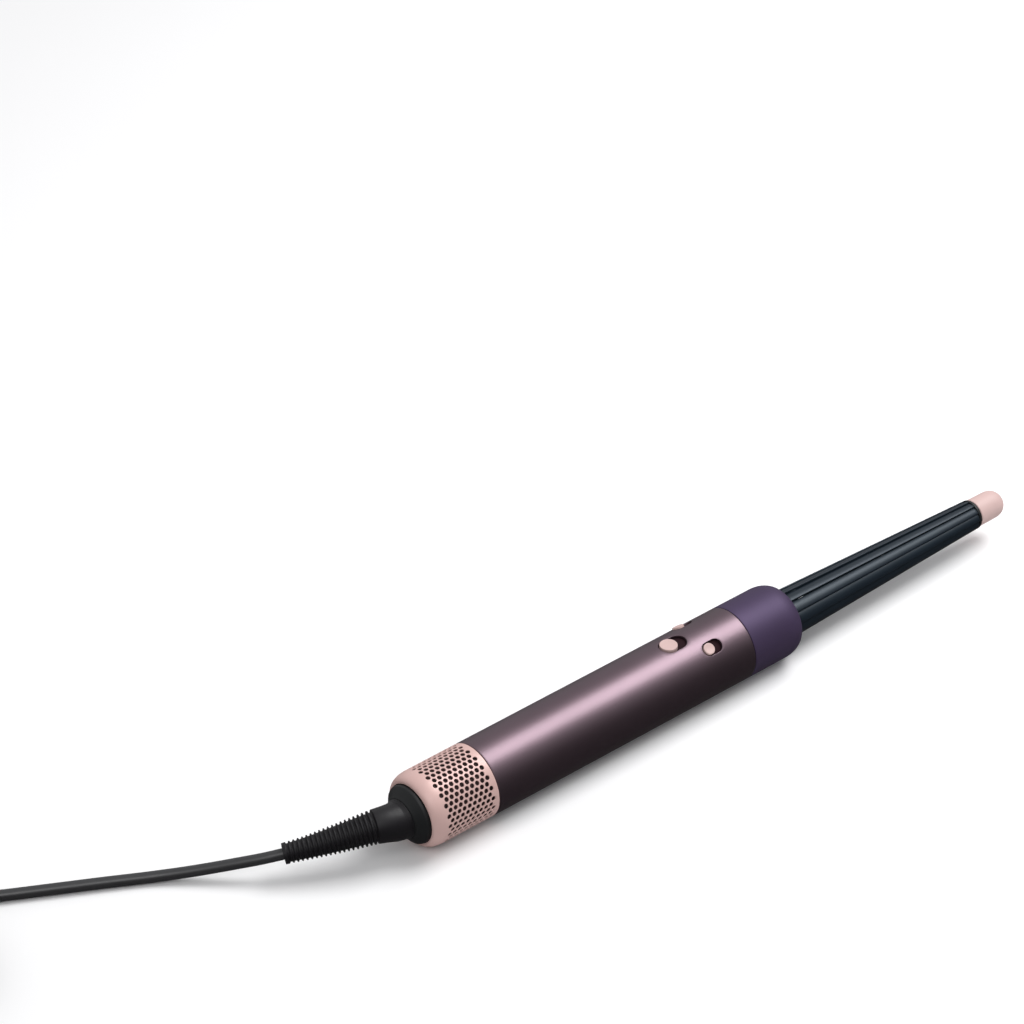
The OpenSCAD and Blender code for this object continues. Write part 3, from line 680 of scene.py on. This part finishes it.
# ---------------------------------------------------------------- pierced tubes
def pierced_tube(stations, columns, r_out, r_in, patches, bevel=0.25):
    """Tube about the handle's axis with holes through its wall.

    stations are X values, columns are angles. Each patch is (i0, i1, j0, j1, x, angle, outline):
    a block of cells taken up by one hole, its centre, and a function from a point around the
    centre to the hole's outline, grown by a given margin.
    """
    b = Builder()
    n = len(columns)
    taken = set()
    for i0, i1, j0, j1, *_ in patches:
        for i in range(i0, i1):
            for j in range(j0, j1):
                taken.add((i, j % n))
    skins = []
    for radius in (r_out, r_in):
        skins.append([[b.point(on_axis(x, radius(x), a)) for a in columns] for x in stations])
    for which, grid in enumerate(skins):
        for i in range(len(stations) - 1):
            for j in range(n):
                if (i, j) in taken:
                    continue
                m = (j + 1) % n
                face = (grid[i][j], grid[i][m], grid[i + 1][m], grid[i + 1][j])
                b.faces.append(face if which == 0 else face[::-1])
    for i0, i1, j0, j1, x0, a0, outline in patches:
        walk = [(i0, j) for j in range(j0, j1)] + [(i, j1) for i in range(i0, i1)]
        walk += [(i1, j) for j in range(j1, j0, -1)] + [(i, j0) for i in range(i1, i0, -1)]
        around = []
        for i, j in walk:
            x = stations[i]
            angle = columns[j % n] + 360 * (j // n)
            off = math.radians((angle - a0 + 180) % 360 - 180)
            around.append((x - x0, r_out(x) * math.sin(off)))

        def ring(margin, depth, blend=1.0):
            out = []
            for u, v in around:
                p, q = outline(u, v, margin)
                p, q = u + (p - u) * blend, v + (q - v) * blend
                x = x0 + p
                r = r_out(x) - depth if depth is not None else r_in(x)
                out.append(b.point(on_axis(x, r, a0 + math.degrees(math.asin(max(-1, min(1, q / r)))))))
            return out

        outer = [skins[0][i][j % n] for i, j in walk]
        inner = [skins[1][i][j % n] for i, j in walk]
        rings = [outer, ring(bevel, 0, 0.5), ring(bevel, 0), ring(bevel * 0.55, bevel * 0.12),
                 ring(bevel * 0.2, bevel * 0.5), ring(0, bevel), ring(0, None), inner]
        for p, q in zip(rings, rings[1:]):
            b.bridge(p, q)
    b.bridge(skins[1][0], skins[0][0])
    b.bridge(skins[0][-1], skins[1][-1])
    return b


def round_hole(radius):
    def outline(u, v, margin):
        d = math.hypot(u, v)
        return u / d * (radius + margin), v / d * (radius + margin)
    return outline


def long_hole(radius, travel):
    """Round-ended slot from the centre of one end to the other, along +X."""
    def outline(u, v, margin):
        c = min(max(u, 0), travel)
        d = math.hypot(u - c, v)
        return c + (u - c) / d * (radius + margin), v / d * (radius + margin)
    return outline


def edge_radius(ends, radius, bevel=0.3):
    """Radius with its two ends rounded off."""
    def r(x):
        gap = min(abs(x - ends[0]), abs(x - ends[1]))
        if gap >= bevel:
            return radius
        return radius - bevel + math.sqrt(max(0, bevel ** 2 - (bevel - gap) ** 2))
    return r


def even(start, stop, count):
    return [start + (stop - start) * k / count for k in range(count + 1)]


def make_shell():
    start, stop, bore = CAGE_X, COLLAR_X - 0.15, 19.2
    turn = 1.5  # degrees from one column of points to the next
    stations = [start + d for d in (0, 0.05, 0.15, 0.3)] + even(start + 1, COLLAR_X - 1, 173)
    stations += [stop - d for d in (0.3, 0.15, 0.05, 0)]
    columns = [-180 + turn * k for k in range(240)]

    def slot(low, high, half, x, angle, radius, travel):
        """Patch of a button's slot between two stations, half degrees to each side."""
        rows = [min(range(len(stations)), key=lambda i: abs(stations[i] - end)) for end in (low, high)]
        cols = [round((angle + side * half + 180) / turn) for side in (-1, 1)]
        return (*rows, *cols, x, angle, long_hole(radius + SLOT_PLAY, travel))

    patches = [
        slot(-40, -17, 22.5, POWER_X, 0, POWER_R, POWER_TRAVEL),
        slot(-20, -2, 12, SMALL_X, -SMALL_ANGLE, SMALL_R, SMALL_TRAVEL),
        slot(-20, -2, 12, SMALL_X, SMALL_ANGLE, SMALL_R, SMALL_TRAVEL),
        slot(-11, 5, 12, RELEASE_X, 180, RELEASE_R, RELEASE_LEN),
    ]
    b = pierced_tube(stations, columns, edge_radius((start, stop), BODY_R), lambda x: bore, patches)
    return add_object("handle_tube", b.verts, b.faces, "handle", "plum_metal", ("handle_shell",), 50)


def make_cage():
    """Perforated cage with a quarter-round shoulder; each hole sits in a block of 4 by 4 cells."""
    rear, front, pitch, first = RING_X, CAGE_X - 0.3, 3.3, CAGE_X - 4.2
    rows, per_row, hole_r, wall, soft = 44, 9, 1.28, 0.55, 0.3
    shoulder, rim_r = 8.0, 17.0
    step = pitch / 4
    top = first + pitch / 2  # front edge of the first hole's cell
    count = 4 * per_row + 2
    stations = [top - step * k for k in range(count, -1, -1)]

    def r_out(x):
        if x < rear + shoulder:
            t = (x - rear) / shoulder
            return rim_r + (BODY_R - rim_r) * math.sqrt(max(0, 1 - (1 - t) ** 2))
        gap = front - x
        return BODY_R if gap > soft else BODY_R - soft + math.sqrt(max(0, soft ** 2 - (soft - gap) ** 2))

    def r_in(x):
        return r_out(x) - wall

    back = [rear + shoulder * (1 - math.cos(math.radians(a))) for a in range(0, 91, 6)]
    back = [x for x in back if x < stations[0] - 0.3]
    lead = even(top, front - soft, 3)[1:] + [front - 0.15, front - 0.05, front]
    xs = back + stations + lead
    base = len(back)
    cols = rows * 4
    columns = [-180 + 360 / cols * k for k in range(cols)]
    patches = []
    for row in range(rows):
        a = 360 / rows * row
        centre_col = round((a + 180) / (360 / cols))
        shift = 2 if row % 2 else 0
        for h in range(per_row):
            hi = base + count - 4 * h - shift
            x = first - pitch * h - pitch / 4 * shift
            patches.append((hi - 4, hi, centre_col - 2, centre_col + 2, x, a, round_hole(hole_r)))
    b = pierced_tube(xs, columns, r_out, r_in, patches, bevel=0.07)
    return add_object("filter_cage_shell", b.verts, b.faces, "filter", "pink_metal", ("filter_cage",), 50)


# ---------------------------------------------------------------- turned parts
def make_bell():
    """Cone from the cage's ring down to the flange of the strain relief."""
    profile = rounded([
        (RING_X, 3.0), (RING_X, 16.0), (-204.2, 16.2), (-205.2, 15.9), (-207.4, 13.2), (-208.6, 11.8),
        (-209.2, 11.2), (-209.5, 10.0), (-211.0, 9.2), (-211.5, 3.0),
    ], 0.25)
    b = lathe(profile, 160)
    return add_object("cord_bell", b.verts, b.faces, "handle", "black_plastic", ("cable_bell",))


def make_collar():
    """Straight sleeve that rounds over to the barrel; its wall is 1.2 mm."""
    bore, round_x, rim_r = BODY_R - 1.2, RIM_X - 10.5, 15.0
    points = [(13.1, 19.6), (13.1, 20.3), (13.16, 20.44), (13.3, BODY_R)]
    points += [(x, BODY_R) for x in even(14.5, 38.0, 10)]
    for a in range(0, 91, 5):
        t = math.radians(a)
        points.append((round_x + 10.45 * math.sin(t), rim_r + (BODY_R - rim_r) * math.cos(t)))
    points += [(49.98, 14.3), (49.9, 13.95), (49.6, 13.7), (48.5, 13.66)]
    for a in range(90, -1, -9):
        t = math.radians(a)
        points.append((round_x + 9 * math.sin(t), rim_r + (bore - rim_r) * math.cos(t)))
    points += [(30, bore), (14, bore)]
    b = lathe(points, 200)
    return add_object("barrel_collar", b.verts, b.faces, "attachment", "purple_metal",
                      ("attachment_collar",), 30)


def make_tip():
    """Hollow cap: a slight taper, then a round nose."""
    points = [(193.35, 1.5), (193.35, 7.4), (193.5, 7.8), (193.8, 8.0)]
    points += [(x, 8.0 - (x - 193.8) * 0.012) for x in even(195, 205, 5)]
    for a in range(0, 91, 5):
        t = math.radians(a)
        points.append((206.5 + 7.5 * math.sin(t), 7.84 * math.cos(t) ** 0.8 if a < 90 else 0))
    points += [(205, 0), (205, 1.5)]
    b = lathe(points, 120)
    return add_object("tip_cap", b.verts, b.faces, "tip", "pink_plastic", ("cool_tip",), 30)


def button(name, x, angle, radius, body, node):
    """Round slider button: flat face with a soft edge, straight sides down to its foot."""
    foot, top, soft = 17.9, 21.2, 0.35
    profile = [(foot, 0), (foot, radius), (top - soft, radius)]
    for k in range(0, 7):
        t = math.radians(k * 15)
        profile.append((top - soft + soft * math.sin(t), radius - soft + soft * math.cos(t)))
    profile += [(top, radius - 0.75), (top - 0.06, radius - 1.1), (top - 0.18, radius * 0.5), (top - 0.22, 0)]
    a = math.radians(angle)
    out = Vector((0, -math.sin(a), math.cos(a)))
    side = Vector((0, -math.cos(a), -math.sin(a)))

    def place(h, r, turn):
        t = math.radians(turn)
        p = Vector((x, 0, AXIS_Z)) + out * h + r * (math.cos(t) * Vector((1, 0, 0)) + math.sin(t) * side)
        return tuple(p)

    b = lathe(profile, 72, closed=False, place=place)
    pin = lathe([(16, 0), (16, 0.8), (foot + 0.1, 0.8), (foot + 0.1, 0)], 20, closed=False, place=place)
    b.add(pin)
    return add_object(name, b.verts, b.faces, body, "pink_plastic", (node,), 40)


def make_spring():
    """The release button's return coil."""
    low, high = (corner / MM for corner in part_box("latch_spring"))
    centre, wire, turns, steps = (low + high) / 2, 0.3, 4, 128
    radius, rise = (high.x - low.x) / 2 - wire - 0.02, high.z - low.z - 2 * wire
    path = []
    for k in range(steps + 1):
        a = 2 * math.pi * turns * k / steps
        path.append(Vector((centre.x + radius * math.cos(a), centre.y + radius * math.sin(a),
                            low.z + wire + rise * k / steps)))
    b = tube(path, wire, 10)
    spring = add_object("release_spring", b.verts, b.faces, "handle", "steel", ("latch_spring",), 60)
    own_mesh(spring)
    return spring


# ---------------------------------------------------------------- barrel
BARREL_R1 = 13.3
BARREL_R2 = 8.5
VANES = 12
FIRST_VANE = -6.0  # degrees from the top


def barrel_r(x):
    return BARREL_R1 - (x - RIM_X) * (BARREL_R1 - BARREL_R2) / (TIP_X - RIM_X)


def make_barrel():
    """Vanes lapped round the core like leaves: each rises from a sunk root to a rounded lip."""
    b = Builder()
    pitch = 360 / VANES
    sunk, wall = 1.45, 1.5
    # angle across one vane in degrees, and how far the surface lies below the barrel's cone
    section = [(0.5, wall)]
    for k in range(12):
        t = k / 12
        section.append((0.5 + (pitch - 2.7) * t, sunk * (1 - t) ** 2))
    section += [(pitch - a, d) for a, d in (
        (2.2, 0.0), (1.7, 0.01), (1.25, 0.06), (0.9, 0.16), (0.7, 0.32), (0.65, 0.6), (0.65, wall))]
    xs = [46.0, 48.0] + even(50, 188, 46) + [189.4, 190.6, 190.9, 191.1]
    ends = {190.6: 0.02, 190.9: 0.12, 191.1: 0.35}
    for v in range(VANES):
        start = FIRST_VANE + pitch * v
        rings = []
        for x in xs:
            r = barrel_r(x)
            scale = r / BARREL_R1
            rings.append(b.loop([on_axis(x, r - d * scale - ends.get(x, 0), start + a) for a, d in section]))
        for p, q in zip(rings, rings[1:]):
            b.bridge(p, q)
        b.cap(rings[0], flip=True)
        b.cap(rings[-1])
    base = lathe(rounded([(43, 12.3), (43, 16.4), (44, 16.4), (44, 13.3), (47, 13.2), (52.5, 12.2),
                          (52.5, 11.8)], 0.2), 96)
    b.add(base)
    return add_object("barrel_vanes", b.verts, b.faces, "attachment", "barrel_black", ("barrel_shell",), 32)


def make_end_ring():
    """Dark ring that closes the barrel's end behind the tip."""
    profile = rounded([(189.5, 1.55), (189.5, 7.2), (191.25, 7.2), (191.25, 8.5), (192.6, 8.42),
                       (193, 8.05), (193, 1.55)], 0.22)
    b = lathe(profile, 120)
    return add_object("barrel_ring", b.verts, b.faces, "attachment", "black_plastic",
                      ("barrel_end_ring",), 40)


# ---------------------------------------------------------------- stage
def make_stage():
    """Pale floor just under the part, hidden from mirror rays so that dark finishes stay dark."""
    mesh = bpy.data.meshes.new("floor")
    s, z = 6.0, -0.0002
    mesh.from_pydata([(-s, -s, z), (s, -s, z), (s, s, z), (-s, s, z)], [], [(0, 1, 2, 3)])
    floor = bpy.data.objects.new("floor", mesh)
    bpy.context.scene.collection.objects.link(floor)
    n = Nodes("floor_paper")
    n.colour(n.ramp(n.noise(3, 2), [(0.3, (0.895, 0.895, 0.90)), (0.7, (0.91, 0.91, 0.915))]))
    n.rough(n.span(n.noise(300, 3), 0.75, 0.85))
    mesh.materials.append(n.mat)
    floor.visible_glossy = False


def area_light(name, place, size, power):
    """Softbox of the given width and depth, turned towards the origin."""
    data = bpy.data.lights.new(name, "AREA")
    data.energy = power
    data.shape = "RECTANGLE"
    data.size, data.size_y = size
    lamp = bpy.data.objects.new(name, data)
    lamp.location = place
    lamp.rotation_euler = (-Vector(place)).to_track_quat("-Z", "Y").to_euler()
    bpy.context.scene.collection.objects.link(lamp)


def make_lights():
    """Studio: a sky that is bright on its far upper side and dim below, a key softbox and a weak fill."""
    world = bpy.data.worlds.new("studio")
    world.use_nodes = True
    tree = world.node_tree
    coords = tree.nodes.new("ShaderNodeTexCoord")
    height = tree.nodes.new("ShaderNodeVectorMath")
    height.operation = "DOT_PRODUCT"
    height.inputs[1].default_value = (0, 0.33, 0.94)
    ramp = tree.nodes.new("ShaderNodeValToRGB")
    spread = tree.nodes.new("ShaderNodeMapRange")
    spread.inputs["From Min"].default_value = -1
    tree.links.new(coords.outputs["Generated"], height.inputs[0])
    tree.links.new(height.outputs["Value"], spread.inputs["Value"])
    tree.links.new(spread.outputs["Result"], ramp.inputs["Fac"])
    low, high = ramp.color_ramp.elements
    low.position, low.color = 0.44, (*LOW_SKY, 1)
    high.position, high.color = 0.76, (*HIGH_SKY, 1)
    tree.links.new(ramp.outputs["Color"], tree.nodes["Background"].inputs["Color"])
    bpy.context.scene.world = world
    bpy.context.scene.view_settings.view_transform = "Standard"
    area_light("key", (0.78, -0.12, 1.3), (0.9, 0.75), KEY_POWER)
    area_light("fill", (-0.9, -0.9, 1.5), (1.0, 1.0), FILL_POWER)


make_camera()
cord, cord_line, cord_length = make_cord()
relief = make_relief()
plug, prongs = make_plug()
strap = make_tie()
[tuple(p * MM) for p in cord_line]
finish_nodes()
make_shell()
make_cage()
make_bell()
make_collar()
make_tip()
make_barrel()
make_end_ring()
button("power_cap", POWER_X, 0, POWER_R, "power_slider", "power_button")
button("airflow_cap", SMALL_X, SMALL_ANGLE, SMALL_R, "airflow_slider", "airflow_button")
button("temperature_cap", SMALL_X, -SMALL_ANGLE, SMALL_R, "temperature_slider", "temperature_button")
make_spring()
make_stage()
make_lights()
